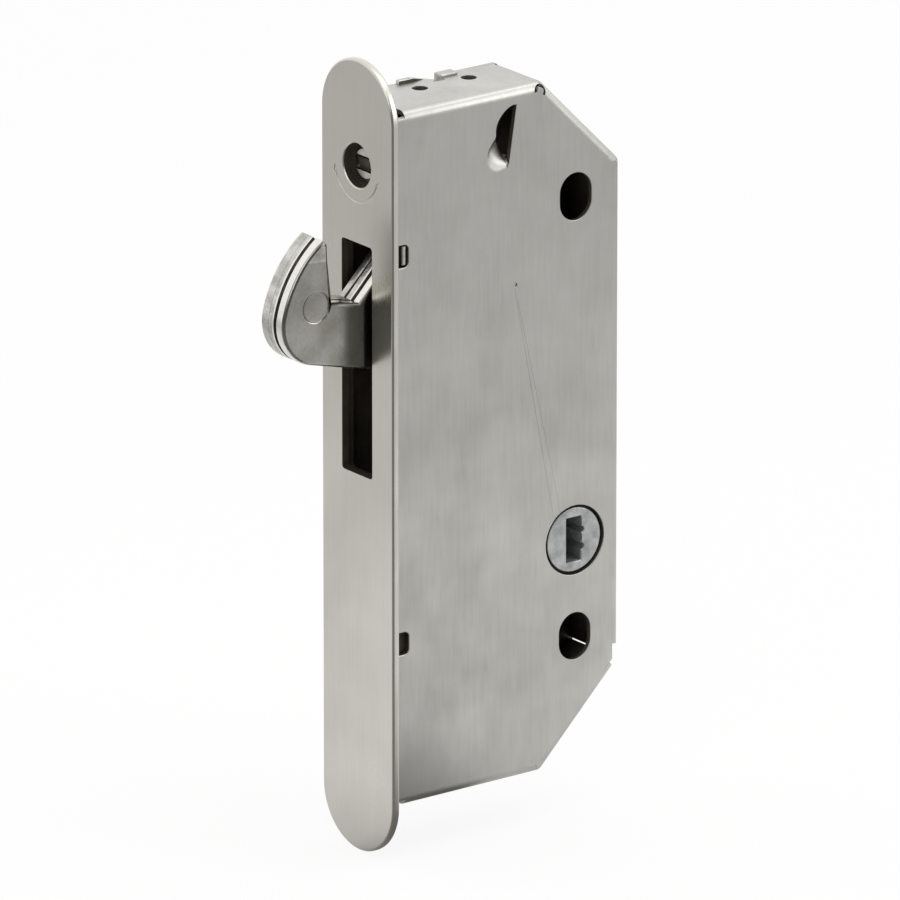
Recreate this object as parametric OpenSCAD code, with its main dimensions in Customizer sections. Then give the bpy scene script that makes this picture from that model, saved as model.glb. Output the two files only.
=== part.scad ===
// Mortise hook lock for a sliding patio door: a sheet steel case behind a narrow faceplate,
// with a laminated hook that swings out of a slot, a drive hub and an adjusting screw.
// X runs into the door, Y across the door's thickness and Z up the door's edge.
// X = 0 is the back of the faceplate and Z = 0 is the middle of its length.

/* [Faceplate] */
// Width of the faceplate
plate_w = 25.4; // [23:0.1:32]
// Length of the faceplate
plate_len = 178.6; // [172:0.1:220]
// Thickness of the faceplate
plate_t = 1.9; // [1.5:0.1:3]
// Bevel around the front rim of the faceplate
plate_bevel = 0.35; // [0.1:0.05:0.8]
// Width of the slot that the hook passes through
slot_w = 10.8; // [9.6:0.1:13]
// Height of the hook slot
slot_h = 52.1; // [50:0.1:60]
// Distance of the slot's top below the hook's pivot
slot_drop = 2; // [0:0.1:4]
// Corner radius of the hook slot
slot_r = 0.8; // [0.3:0.1:2]
// Radius of the access hole for the adjusting screw
access_r = 4.9; // [4.2:0.1:5.5]
// Radius of the stamped turning arrow
arrow_r = 7.9; // [7:0.1:9]

/* [Case] */
// Thickness of the case across the door
case_t = 18; // [18:0.1:24]
// Height of the case
case_h = 156.8; // [154:0.1:180]
// Height of the case's middle above the middle of the plate
case_rise = 0.3; // [0:0.1:2]
// Depth of the case behind the faceplate
case_depth = 62.6; // [61:0.1:75]
// Leg of the slanted rear corners
corner_leg = 21.2; // [16:0.1:23]
// Thickness of the case sheet
wall = 1.1; // [0.8:0.05:1.2]
// Outside radius of the bends along the near side
bend_r = 2.1; // [1.6:0.1:2.6]
// Setback of each flange from the case's four slanted corners
seam_gap = 0.6; // [0.4:0.1:1.2]
// Radius of the bend reliefs at the front ends of the slanted corners
front_relief_r = 1.6; // [1.4:0.1:2]
// Radius of the bend relief at the upper rear corner
rear_relief_r = 2.4; // [1.4:0.1:3]
// Radius of the bend relief at the lower rear corner
low_relief_r = 3.4; // [1.4:0.1:4]
// Height of the two windows at the front edge that show the bracket lugs
window_h = 5.1; // [4:0.1:7]
// Depth of those windows from the front edge
window_d = 5.2; // [4:0.1:6]
// Distance of the upper window's middle below the top of the case
window_drop = 32.2; // [29:0.1:36]
// Height of the lower window's middle above the bottom of the case
window_rise = 37.2; // [28:0.1:40]
// Radius of the pressed scoop near the top
scoop_r = 5.4; // [4:0.1:5.6]
// Diameter of the two holes in the top flange
top_hole_d = 3.5; // [2:0.1:4]

/* [Handle screws and hub] */
// Distance from the hub and the handle screws to the rear of the case
rear_margin = 12.4; // [11:0.1:13]
// Distance between the two handle screws
screw_pitch = 100; // [96:0.1:106]
// Height of the middle between the handle screws above the middle of the case
screw_mid_rise = 1; // [-1:0.1:1.5]
// Width of the handle screw holes
screw_slot_w = 8.5; // [6:0.1:9]
// Height of the handle screw holes
screw_slot_h = 10.7; // [9.5:0.1:12]
// Height of the hub's axis above the lower handle screw
hub_rise = 22; // [21:0.1:24]
// Radius of the hub's near journal
hub_r = 7.1; // [6.7:0.1:7.2]
// Radius of the hole around the hub in the near side
hub_hole_r = 7.9; // [7.5:0.1:8.3]
// Width of the drive slot through the hub
drive_w = 4; // [3:0.1:4.2]
// Height of the drive slot through the hub
drive_h = 10.1; // [8:0.1:10.4]

/* [Hook] */
// Thickness of one hook lamination
lam_t = 2.6; // [2.4:0.05:2.9]
// Reach of the hook in front of the faceplate
hook_reach = 22.6; // [20:0.1:26]
// Distance of the middle of the hook's heel below the pivot
heel_drop = 16.2; // [15:0.1:18]
// Radius of the hook's heel
heel_r = 9.9; // [8:0.1:12]
// Radius of the hook's crest
crest_r = 27.5; // [25:0.1:34]
// Reach of the hook's tip in front of the faceplate
tip_reach = 10.8; // [10:0.1:14]
// Distance of the throat's foot in front of the faceplate
throat_reach = 9.5; // [8.5:0.1:9.7]
// Distance of the throat's foot below the pivot
throat_drop = 12.7; // [12:0.1:14]
// Slope of the neck's upper edge in degrees
neck_slope = 46; // [44:0.5:48]
// Slope of the hook's lower edge in degrees
under_slope = 14.3; // [12:0.1:17]
// Distance of the hook's pivot behind the faceplate
pivot_x = 20.5; // [20:0.1:21.5]
// Distance of the hook's pivot below the adjusting screw
pivot_drop = 15.2; // [14.5:0.1:15.6]
// Radius of the hook's pivot pin
pivot_r = 2.5; // [2:0.1:3]
// Swing of the hook from thrown to drawn in, in degrees
hook_swing = 65; // [60:1:66]
// Radius of the equal cranks on the hook and the hub
crank_r = 11.6; // [11.5:0.1:12]

/* [Adjustment] */
// Travel of the hook carriage each way along the adjusting screw
adjust_travel = 3; // [2:0.1:3]
// Distance of the adjusting screw below the top of the case
screw_drop = 13; // [12.4:0.1:13.4]
// Radius of the adjusting screw's head
head_r = 3.5; // [3:0.1:3.8]
// Radius of the adjusting screw's shank
shank_r = 2.5; // [2:0.1:2.5]
// Width of the screwdriver slot
driver_w = 1.6; // [1:0.1:2]
// Radius of the carriage's guide posts
post_r = 2; // [1.5:0.1:2.2]

/* [Hidden] */
$fn = 72;
steel = [0.68, 0.68, 0.66];
plate_steel = [0.72, 0.70, 0.67];
zinc = [0.56, 0.56, 0.55];

// Clearances shared by the fits
run_clear = 0.06;
slide_clear = 0.1;
side_clear = 0.3;
seat_clear = 0.02;

// Layers across the door, from the near side at -case_t / 2 to the far side at case_t / 2
near_y = -case_t / 2;
inner_y = case_t / 2 - wall;
hook_half = 1.5 * lam_t;
cheek_t = 1.2;
cheek_y = hook_half + side_clear;
cheek_out = cheek_y + cheek_t;
link_t = inner_y - cheek_out - 2 * side_clear;
link_y = cheek_out + side_clear;
lever_t = 1.8;
lever_y = cheek_out - lever_t;

// Case outline
case_top = case_rise + case_h / 2;
case_low = case_rise - case_h / 2;
window_up_z = case_top - window_drop;
window_low_z = case_low + window_rise;
front_gap = 0.35;
relief_d = bend_r + 1.2;
corner_r = 0.9;
tongue_len = 0.8;
tongue_sink = 0.01;
window_r = 1.2;
top_hole_x = [17.4, 30.5];
top_hole_y = 3.2;
dimple_at = [case_depth - 28.7, case_rise + 34.1];
dimple_r = 0.45;
dimple_sink = 0.3;
front_notch = [4.4, 4, 1.4];

// Handle screws and hub
backset = case_depth - rear_margin;
screw_mid_z = case_rise + screw_mid_rise;
hub_z = screw_mid_z - screw_pitch / 2 + hub_rise;
hub_at = [backset, hub_z];
hub_face_y = near_y + 0.4;
hub_far_r = hub_r - 0.6;
bush_r = hub_r + 2.3;
bush_t = 1.4;
screw_slot_r = screw_slot_w / 2;

// Heights of the adjusting screw, the hook and the slot
screw_z = case_top - screw_drop;
pivot_z = screw_z - pivot_drop;
heel_z = pivot_z - heel_drop;
throat_z = pivot_z - throat_drop;
slot_top = pivot_z - slot_drop;
slot_low = slot_top - slot_h;

// Crank pins: both cranks stand square to the link at mid swing
pivot_at = [pivot_x, pivot_z];
link_len = norm(pivot_at - hub_at);
link_dir = atan2(pivot_z - hub_z, pivot_x - backset);
crank_angle = link_dir + 90 - hook_swing / 2;
crank = crank_r * [cos(crank_angle), sin(crank_angle)];
hub_crank_at = hub_at + crank;
hook_crank_at = pivot_at + crank;
crank_pin_r = 2;
link_half = 3;
link_eye_r = 3.8;
link_head_r = crank_pin_r + 2.1;
lever_rim_r = 9.2;
lever_lobe_r = 3.6;

// Hook outline
hook_x = -plate_t;
heel_at = [hook_x - hook_reach + heel_r, heel_z];
crest_turn = 166;
crest_at = heel_at - (crest_r - heel_r) * [cos(crest_turn), sin(crest_turn)];
tip_x = hook_x - tip_reach;
tip_land = 1.1;
tip_turn = acos((tip_x - tip_land - crest_at[0]) / crest_r);
tip_z = crest_at[1] + crest_r * sin(tip_turn) - tip_land;
neck_foot_x = hook_x - 2;
arm_x = 5;
boss_r = 7.6;
crank_lobe_r = 4.2;
hook_rivet_r = 3.3;
hook_rivet_at = [heel_at + [-1, 3.2], [arm_x, throat_z - 4]];

// Carriage
nut_x = 17.8;
nut_len = 6;
nut_half_h = 5.8;
nut_rivet_r = 1.2;
nut_rivet_rise = 4.2;
post_at = [[11.6, screw_z - 5.2], [34, screw_z - 11.7]];
cheek_edge = 1.6;
spacer_at = [29.5, screw_z - 7.7];
spacer_r = 1.6;

// Faceplate details
access_chamfer = 0.25;
arrow_depth = 0.15;

// Front bracket and screw bearings
web_t = 1.5;
collar_r = 5.2;
collar_t = 1.2;
retainer_t = 1.2;
retainer_x = web_t + collar_t + 0.2;
screw_hole_r = head_r + 1.2;
tail_x = 27.4;
tail_t = 1.2;
tail_foot = 9;
screw_end = tail_x + tail_t + 2;

// Tenons, tabs and lugs
post_tenon_r = 1.4;
case_spacer_at = [[10, case_low + 15], [case_depth - 18.5, case_low + 14]];
tab_lift = 0.7;
lip_lift = 0.9;
lip_flat = 3;
dent_low = 0.95;
dent_reach = 2.9;
tab_root = 1;
tab_reach = 2.6;
tab_w = 4.3;
tab_x = 25.6;
low_tab_x = 8;
lip_x = 15.3;
lug_h = window_h - 0.8;
lug_x = [3.7, 4.7];
bracket_t = 1.2;
bracket_d = 7;
bracket_h = 14;
bracket_half = inner_y - side_clear;

// Pressed scoop in the near side
scoop_at = [case_depth - corner_leg - 8.3, case_top - 10.2];
scoop_lean = 9;
scoop_sink = 0.5;
scoop_t = 0.9;
scoop_slit = 0.3;

// Detent leaf
leaf_half = 0.3;
leaf_y = lever_y - 0.4;
leaf_w = lever_t + 0.8;
nose_r = 1.3;
nose_turn = 78;
nose_at = hub_at + (lever_rim_r + nose_r + leaf_half + 0.12) * [cos(nose_turn), sin(nose_turn)];
leaf_x = case_depth - wall - leaf_half - seat_clear;
leaf_foot_z = hub_z + 16.5;
leaf_top_z = leaf_foot_z + 13;
leaf_rivet_z = leaf_top_z - 4;
leaf_rivet_r = 0.7;
notch_r = 2;
notch_sink = 0.45;

// Points along an arc around centre c, from angle a to angle b
function arc(c, r, a, b, n = 12) =
    [for (i = [0:n]) let (t = a + (b - a) * i / n) c + r * [cos(t), sin(t)]];

// Case outline drawn in by d on its five flanged sides
function case_outline(d) = let (k = d * (sqrt(2) - 1)) [
    [0, case_top - d],
    [case_depth - corner_leg - k, case_top - d],
    [case_depth - d, case_top - corner_leg - k],
    [case_depth - d, case_low + corner_leg + k],
    [case_depth - corner_leg - k, case_low + d],
    [0, case_low + d]
];

// Turn a drawing in the X-Z plane into a plate that lies from y to y + t
module plate_xz(y, t) {
    translate([0, y + t, 0])
    rotate([90, 0, 0])
    linear_extrude(t)
    children();
}

// Straight-sided slot with round ends, drawn along X around the origin
module slot_2d(len, r) {
    square([len - 2 * r, 2 * r], center = true);
    for (s = [-1, 1])
        translate([s * (len / 2 - r), 0]) circle(r);
}

// Round pin along Y
module pin_y(at, r, y0, y1) {
    translate([at[0], y1, at[1]]) rotate([90, 0, 0]) cylinder(r = r, h = y1 - y0);
}

// Round pin along X
module pin_x(y, z, r, x0, x1) {
    translate([x0, y, z]) rotate([0, 90, 0]) cylinder(r = r, h = x1 - x0);
}

// Web between two circles of one radius
module bar_2d(a, b, half) {
    d = b - a;
    translate(a)
    rotate(atan2(d[1], d[0]))
    translate([0, -half])
    square([norm(d), 2 * half]);
}

// Upright holes for the two handle screws
module handle_slots_2d() {
    for (s = [-1, 1])
        translate([backset, screw_mid_z + s * screw_pitch / 2])
        rotate(90)
        slot_2d(screw_slot_h, screw_slot_r);
}

// Section across one flange: x is the depth below its outside face and y runs across the door.
// Its tongue lies inside the near side's sheet.
module flange_section() {
    translate([0, near_y + bend_r])
    square([wall, inner_y - near_y - bend_r]);
    translate([bend_r, near_y + tongue_sink])
    square([tongue_len, wall - 2 * tongue_sink]);
    intersection() {
        translate([0, near_y]) square(bend_r);
        translate([bend_r, near_y + bend_r])
        difference() {
            circle(bend_r - tongue_sink);
            circle(bend_r - wall + tongue_sink);
        }
    }
}

// One flange along the outline from a to b, set back by gap_a and gap_b at its ends
module flange(a, b, gap_a, gap_b) {
    d = b - a;
    translate([a[0], 0, a[1]])
    rotate([0, 90 - atan2(d[1], d[0]), 0])
    translate([0, 0, gap_a])
    linear_extrude(norm(d) - gap_a - gap_b)
    flange_section();
}

// Flat prism with full-radius ends and a bevelled front rim, its back at X = 0
module bar_prism(w, len, t, bevel) {
    r = w / 2;
    straight = len / 2 - r;
    translate([0, 0, -straight])
    linear_extrude(2 * straight)
    polygon([
        [0, -r], [0, r], [-t + bevel, r], [-t, r - bevel], [-t, -r + bevel], [-t + bevel, -r]
    ]);
    for (s = [-1, 1])
        translate([0, 0, s * straight])
        rotate([0, -90, 0]) {
            cylinder(r = r, h = t - bevel);
            translate([0, 0, t - bevel]) cylinder(r1 = r, r2 = r - bevel, h = bevel);
        }
}

// Upright slot for the hook through everything from x0 to x1, grown by g on each side
module hook_slot(x0, x1, g) {
    r = slot_r + g;
    y = slot_w / 2 + g - r;
    translate([x0, 0, 0])
    rotate([90, 0, 90])
    linear_extrude(x1 - x0)
    union() {
        translate([-slot_w / 2 - g, slot_low - g + r])
        square([slot_w + 2 * g, slot_h + 2 * g - 2 * r]);
        translate([-y, slot_low - g])
        square([2 * y, slot_h + 2 * g]);
        for (sy = [-y, y])
            for (z = [slot_low - g + r, slot_top + g - r])
                translate([sy, z]) circle(r);
    }
}

// Stamped groove that shows the turning way of the adjusting screw
module turning_arrow(depth) {
    groove = 0.7;
    head = 1.5;
    span = [200, 335];
    translate([-plate_t + depth, 0, screw_z])
    rotate([0, -90, 0])
    linear_extrude(depth + 1)
    rotate(-90) {
        difference() {
            circle(arrow_r + groove / 2);
            circle(arrow_r - groove / 2);
            polygon(concat([[0, 0]], arc([0, 0], 2 * arrow_r, span[1] - 360, span[0], 6)));
        }
        for (k = [0, 1])
            rotate(span[k])
            translate([arrow_r, 0])
            polygon([[-head / 2, 0], [head / 2, 0], [0, (k == 0 ? -1 : 1) * head]]);
    }
}

module faceplate() {
    color(plate_steel)
    difference() {
        bar_prism(plate_w, plate_len, plate_t, plate_bevel);
        hook_slot(-plate_t - 1, 1, 0);
        pin_x(0, screw_z, access_r, -plate_t - 1, 1);
        translate([-plate_t - 0.01, 0, screw_z])
        rotate([0, 90, 0])
        cylinder(r1 = access_r + access_chamfer, r2 = access_r, h = access_chamfer);
        turning_arrow(arrow_depth);
    }
}

// Window at the front edge of the near side
module window_2d(z) {
    translate([0, z - window_h / 2]) square([window_d - window_r, window_h]);
    translate([0, z - window_h / 2 + window_r]) square([window_d, window_h - 2 * window_r]);
    for (s = [-1, 1])
        translate([window_d - window_r, z + s * (window_h / 2 - window_r)]) circle(window_r);
}

// Quarter ball of radius r on the front side of the scoop's cut line
module scoop_ball(r) {
    translate([scoop_at[0], near_y - scoop_sink, scoop_at[1]])
    rotate([0, scoop_lean, 0])
    intersection() {
        sphere(r = r);
        translate([-2 * r, scoop_sink, -2 * r]) cube([2 * r, 2 * r, 4 * r]);
    }
}

// Dent in the far edge of the top flange and of the cover, between the lip and the tab
module edge_dent(y) {
    dent_x = lip_x + lip_flat;
    plate_xz(y, case_t / 2 + 1 - y)
    polygon([
        [dent_x, case_top + lip_lift], [tab_x, case_top - dent_low],
        [tab_x, case_top + 2], [dent_x, case_top + 2]
    ]);
}

module case_pan() {
    o = case_outline(0);
    inset = case_outline(bend_r);
    reliefs = [0, front_relief_r, rear_relief_r, low_relief_r, front_relief_r];
    color(steel)
    difference() {
        union() {
            difference() {
                union() {
                    flange(o[0], o[1], 0, seam_gap);
                    for (i = [1:3]) flange(o[i], o[i + 1], seam_gap, seam_gap);
                    flange(o[4], o[5], seam_gap, 0);
                }
                for (i = [1:4]) pin_y(inset[i], reliefs[i], near_y - 1, near_y + relief_d);
                edge_dent(inner_y - dent_reach);
            }
            plate_xz(near_y, wall) {
                polygon(inset);
                for (i = [1, 2, 4]) translate(inset[i]) circle(corner_r);
            }
        }
        plate_xz(near_y - 1, wall + 2) {
            translate([-1, case_low + bend_r])
            square([1 + front_gap, case_h - 2 * bend_r]);
            window_2d(window_up_z);
            window_2d(window_low_z);
            handle_slots_2d();
            translate(hub_at) circle(hub_hole_r);
        }
        for (z = [case_low - 1, case_top - front_notch[2]])
            translate([-1, near_y - 1, z]) cube(front_notch + [1, 1, 1]);
        for (x = top_hole_x)
            translate([x, top_hole_y, case_top - wall - 1]) cylinder(d = top_hole_d, h = wall + 2);
        scoop_ball(scoop_r + scoop_slit);
        pin_y(dimple_at, dimple_r, near_y - 1, near_y + dimple_sink);
        pin_x(leaf_y + leaf_w / 2, leaf_rivet_z, leaf_rivet_r + seat_clear,
              case_depth - wall - 1, case_depth + 1);
    }
    color(steel)
    difference() {
        scoop_ball(scoop_r + scoop_t);
        scoop_ball(scoop_r);
        translate([0, near_y - 2, 0]) cube([case_depth, 2, case_top]);
    }
}

// Edge tab of the cover, from x on, that lies over a flange: above z if up is 1, below if -1.
// Its root reaches into the cover's plate.
module crimp_tab(z, up, x) {
    translate([x, case_t / 2 - tab_reach, up > 0 ? z : z - tab_lift])
    cube([tab_w, tab_reach, tab_lift]);
    translate([x, inner_y, up > 0 ? z - tab_root : z - tab_lift])
    cube([tab_w, wall, tab_root + tab_lift]);
}

module case_cover() {
    color(steel)
    difference() {
        union() {
            plate_xz(inner_y, wall) polygon(case_outline(0));
            translate([lip_x, inner_y, case_top - tab_root])
            cube([tab_x - lip_x, wall, tab_root + lip_lift]);
            crimp_tab(case_top, 1, tab_x);
            for (x = [low_tab_x, tab_x]) crimp_tab(case_low, -1, x);
        }
        edge_dent(inner_y - 1);
        plate_xz(inner_y - 1, wall + 2) {
            handle_slots_2d();
            translate(hub_at) circle(hub_far_r + run_clear);
            for (p = concat(post_at, case_spacer_at))
                translate(p) circle(post_tenon_r + seat_clear);
        }
    }
}

// Bracket behind the faceplate: a web with side ears and a lug that keys into the upper window
module front_bracket() {
    web_low = case_low + 5;
    web_top = case_top - 4;
    color(steel)
    difference() {
        union() {
            translate([0, -bracket_half, web_low])
            cube([web_t, 2 * bracket_half, web_top - web_low]);
            for (z = [window_up_z, window_low_z])
                translate([0, -bracket_half, z - bracket_h / 2])
                cube([bracket_d, bracket_t, bracket_h]);
            translate([lug_x[0], -bracket_half - wall, window_up_z - lug_h / 2])
            cube([lug_x[1] - lug_x[0], wall + bracket_t / 2, lug_h]);
            for (z = [screw_z + 2, window_low_z])
                translate([0, bracket_half - bracket_t, z - bracket_h / 2])
                cube([bracket_d, bracket_t, bracket_h]);
        }
        hook_slot(-1, web_t + 1, 0.4);
        pin_x(0, screw_z, screw_hole_r, -1, web_t + 1);
    }
}

// Yoke that traps the screw's collar behind the bracket
module screw_retainer() {
    half_y = hook_half;
    half_z = collar_r + 0.3 + retainer_t;
    far_x = retainer_x + retainer_t;
    color(steel)
    difference() {
        translate([web_t, -half_y, screw_z - half_z])
        cube([far_x - web_t, 2 * half_y, 2 * half_z]);
        translate([web_t - 1, -half_y - 1, screw_z - collar_r - 0.3])
        cube([1 + retainer_x - web_t, 2 * half_y + 2, 2 * collar_r + 0.6]);
        pin_x(0, screw_z, shank_r + run_clear, retainer_x - 1, far_x + 1);
    }
}

// Angle on the cover that carries the tail of the adjusting screw
module screw_tail_bracket() {
    half_z = shank_r + 1.1;
    color(steel)
    difference() {
        union() {
            translate([tail_x, -shank_r - 1.2, screw_z - half_z])
            cube([tail_t, inner_y + shank_r + 1.2, 2 * half_z]);
            translate([tail_x, inner_y - tail_t, screw_z - half_z])
            cube([tail_foot, tail_t, 2 * half_z]);
        }
        pin_x(0, screw_z, shank_r + run_clear, tail_x - 1, tail_x + tail_t + 1);
    }
}

// Shouldered post between the two sides, its tenon in the cover
module wall_post(at) {
    pin_y(at, post_r, -inner_y, inner_y);
    pin_y(at, post_tenon_r, inner_y, case_t / 2);
}

module guide_posts() {
    color(steel)
    for (p = post_at) wall_post(p);
}

module case_spacers() {
    color(steel)
    for (p = case_spacer_at) wall_post(p);
}

module hub_bush() {
    color("darkgoldenrod")
    difference() {
        pin_y(hub_at, bush_r, -inner_y, -inner_y + bush_t);
        pin_y(hub_at, hub_r + run_clear, -inner_y - 1, -inner_y + bush_t + 1);
    }
}

// Bent strip that follows a list of points, its knots a hair wider than its straights
module strip_2d(points, half) {
    for (i = [0:len(points) - 2]) bar_2d(points[i], points[i + 1], half);
    for (p = points) translate(p) circle(half + seat_clear);
}

// Bent leaf, riveted to the rear flange, whose nose rides on the rim of the hub lever
module detent_spring() {
    spread = 60;
    color(steel)
    difference() {
        plate_xz(leaf_y, leaf_w)
        strip_2d(concat(
            [[leaf_x, leaf_top_z], [leaf_x, leaf_foot_z]],
            arc(nose_at, nose_r, spread - 90, -spread - 90, 6),
            [nose_at + [-7, 4]]
        ), leaf_half);
        pin_x(leaf_y + leaf_w / 2, leaf_rivet_z, leaf_rivet_r + seat_clear, leaf_x - 2, case_depth);
    }
}

module spring_rivet() {
    y = leaf_y + leaf_w / 2;
    color(steel) {
        pin_x(y, leaf_rivet_z, leaf_rivet_r, leaf_x - leaf_half, case_depth - 0.1);
        pin_x(y, leaf_rivet_z, leaf_rivet_r + 0.8, leaf_x - leaf_half - 0.8, leaf_x - leaf_half);
    }
}

module adjusting_screw() {
    head_x = web_t + side_clear / 2;
    face_x = 0.2;
    color(steel)
    difference() {
        union() {
            pin_x(0, screw_z, head_r, face_x, head_x);
            pin_x(0, screw_z, collar_r, head_x, head_x + collar_t);
            pin_x(0, screw_z, shank_r, head_x, screw_end);
        }
        translate([face_x - 1, -head_r - 1, screw_z - driver_w / 2])
        cube([2.1, 2 * head_r + 2, driver_w]);
        difference() {
            pin_x(0, screw_z, shank_r + 1, tail_x + tail_t + 0.3, tail_x + tail_t + 0.9);
            pin_x(0, screw_z, shank_r - 0.5, tail_x, screw_end);
        }
    }
}

module tail_clip() {
    color(steel)
    difference() {
        pin_x(0, screw_z, shank_r + 1, tail_x + tail_t + 0.33, tail_x + tail_t + 0.87);
        pin_x(0, screw_z, shank_r - 0.5 + seat_clear, tail_x, screw_end);
        translate([tail_x, -shank_r + 0.7, screw_z])
        cube([tail_t + 2, 2 * shank_r - 1.4, shank_r + 2]);
    }
}

// Side plate of the hook carriage
module cheek_2d() {
    slot_len = 2 * (post_r + slide_clear + adjust_travel);
    difference() {
        union() {
            translate(pivot_at) circle(pivot_r + 4);
            for (p = post_at)
                translate(p)
                slot_2d(slot_len + 2 * cheek_edge, post_r + slide_clear + cheek_edge);
            translate(spacer_at) circle(spacer_r + 1.5);
            translate([nut_x, pivot_z])
            square([nut_len, screw_z + nut_half_h - pivot_z]);
            translate([post_at[0][0] + post_r, pivot_z - 2])
            square([post_at[1][0] - post_at[0][0] - post_r, post_at[0][1] - pivot_z]);
        }
        translate(pivot_at) circle(pivot_r + seat_clear);
        for (p = post_at) translate(p) slot_2d(slot_len, post_r + slide_clear);
        translate(spacer_at) circle(spacer_r - 0.5 + seat_clear);
        for (s = [-1, 1])
            translate([nut_x + nut_len / 2, screw_z + s * nut_rivet_rise])
            circle(nut_rivet_r + seat_clear);
    }
}

module cheek_near() {
    color(steel) plate_xz(-cheek_out, cheek_t) cheek_2d();
}

module cheek_far() {
    color(steel) plate_xz(cheek_y, cheek_t) cheek_2d();
}

module adjuster_nut() {
    color("goldenrod")
    difference() {
        translate([nut_x, -cheek_y, screw_z - nut_half_h])
        cube([nut_len, 2 * cheek_y, 2 * nut_half_h]);
        pin_x(0, screw_z, shank_r + run_clear, nut_x - 1, nut_x + nut_len + 1);
        for (s = [-1, 1])
            pin_y([nut_x + nut_len / 2, screw_z + s * nut_rivet_rise],
                  nut_rivet_r + seat_clear, -cheek_out, cheek_out);
    }
}

module nut_rivets() {
    color(steel)
    for (s = [-1, 1])
        pin_y([nut_x + nut_len / 2, screw_z + s * nut_rivet_rise], nut_rivet_r, -cheek_out, cheek_out);
}

module cheek_spacer() {
    color(steel) {
        pin_y(spacer_at, spacer_r, -cheek_y, cheek_y);
        pin_y(spacer_at, spacer_r - 0.5, -cheek_out, cheek_out);
    }
}

module hook_pivot_pin() {
    color(steel) pin_y(pivot_at, pivot_r, -cheek_out, cheek_out);
}

// Side view of one hook lamination
module hook_2d() {
    under_a = -90 - under_slope;
    under = heel_at + heel_r * [cos(under_a), sin(under_a)];
    arm = [arm_x, under[1] - (arm_x - under[0]) * tan(under_slope)];
    to_boss = pivot_at - arm;
    arm_a = atan2(to_boss[1], to_boss[0]) - asin(boss_r / norm(to_boss)) - 90;
    boss_low = pivot_at + boss_r * [cos(arm_a), sin(arm_a)];
    boss_high = pivot_at + boss_r * [cos(neck_slope + 90), sin(neck_slope + 90)];
    neck_foot = [neck_foot_x, boss_high[1] - (boss_high[0] - neck_foot_x) * tan(neck_slope)];
    difference() {
        union() {
            polygon(concat(
                arc(crest_at, crest_r, tip_turn, crest_turn, 10),
                arc(heel_at, heel_r, crest_turn, 360 + under_a, 12),
                [arm, boss_low, boss_high, neck_foot],
                [[hook_x - throat_reach, throat_z], [tip_x, tip_z]]
            ));
            translate(pivot_at) circle(boss_r + seat_clear);
            translate(hook_crank_at) circle(crank_lobe_r);
            bar_2d(hook_crank_at, pivot_at, crank_lobe_r - 0.1);
        }
        translate(pivot_at) circle(pivot_r + run_clear);
        translate(hook_crank_at) circle(crank_pin_r + seat_clear);
        for (p = hook_rivet_at) translate(p) circle(hook_rivet_r + seat_clear);
    }
}

module hook_lamination(i) {
    color(steel) plate_xz((i - 1.5) * lam_t, lam_t) hook_2d();
}

module hook_plate_near() {
    hook_lamination(0);
}

module hook_plate_middle() {
    hook_lamination(1);
}

module hook_plate_far() {
    hook_lamination(2);
}

module hook_rivets() {
    color(steel)
    for (p = hook_rivet_at) pin_y(p, hook_rivet_r, -hook_half, hook_half);
}

module hook_drive_pin() {
    color(steel) pin_y(hook_crank_at, crank_pin_r, -hook_half, link_y + link_t);
}

// Double-D seat of the lever on the hub
module lever_seat_2d(g) {
    intersection() {
        circle(hub_far_r + g);
        square([2 * (hub_far_r + g), 2 * (hub_far_r - 0.5 + g)], center = true);
    }
}

module drive_hub() {
    bump_r = 0.75;
    bump_rise = 1.9;
    color(zinc)
    difference() {
        union() {
            pin_y(hub_at, hub_r, hub_face_y, lever_y);
            pin_y(hub_at, bush_r - 1, -inner_y + bush_t + side_clear, lever_y);
            plate_xz(lever_y, lever_t) translate(hub_at) lever_seat_2d(0);
            pin_y(hub_at, hub_far_r, lever_y + lever_t, case_t / 2 - 0.1);
        }
        plate_xz(near_y, case_t)
        translate(hub_at) {
            square([drive_w, drive_h], center = true);
            for (z = [-bump_rise, bump_rise]) translate([drive_w / 2, z]) circle(bump_r);
        }
    }
}

module hub_lever() {
    color(steel)
    plate_xz(lever_y, lever_t)
    difference() {
        union() {
            translate(hub_at) circle(lever_rim_r);
            translate(hub_crank_at) circle(lever_lobe_r);
            bar_2d(hub_at, hub_crank_at, lever_lobe_r - 0.1);
        }
        translate(hub_at) lever_seat_2d(seat_clear);
        translate(hub_crank_at) circle(crank_pin_r + seat_clear);
        for (a = [nose_turn, nose_turn - hook_swing])
            translate(hub_at + (lever_rim_r + notch_r - notch_sink) * [cos(a), sin(a)])
            circle(notch_r);
    }
}

module lever_pin() {
    color(steel) pin_y(hub_crank_at, crank_pin_r, lever_y, link_y + link_t);
}

module link_bar() {
    head_len = 2 * (crank_pin_r + slide_clear + adjust_travel);
    color(steel)
    plate_xz(link_y, link_t)
    difference() {
        union() {
            translate(hub_crank_at) circle(link_eye_r);
            bar_2d(hub_crank_at, hook_crank_at, link_half);
            translate(hook_crank_at) slot_2d(head_len + 2 * (link_head_r - crank_pin_r), link_head_r);
        }
        translate(hub_crank_at) circle(crank_pin_r + run_clear);
        translate(hook_crank_at) slot_2d(head_len, crank_pin_r + slide_clear);
    }
}

case_pan();
case_cover();
faceplate();
front_bracket();
screw_retainer();
screw_tail_bracket();
guide_posts();
case_spacers();
hub_bush();
detent_spring();
spring_rivet();
adjusting_screw();
tail_clip();
cheek_near();
cheek_far();
adjuster_nut();
nut_rivets();
cheek_spacer();
hook_pivot_pin();
hook_plate_near();
hook_plate_middle();
hook_plate_far();
hook_rivets();
hook_drive_pin();
drive_hub();
hub_lever();
lever_pin();
link_bar();
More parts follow.
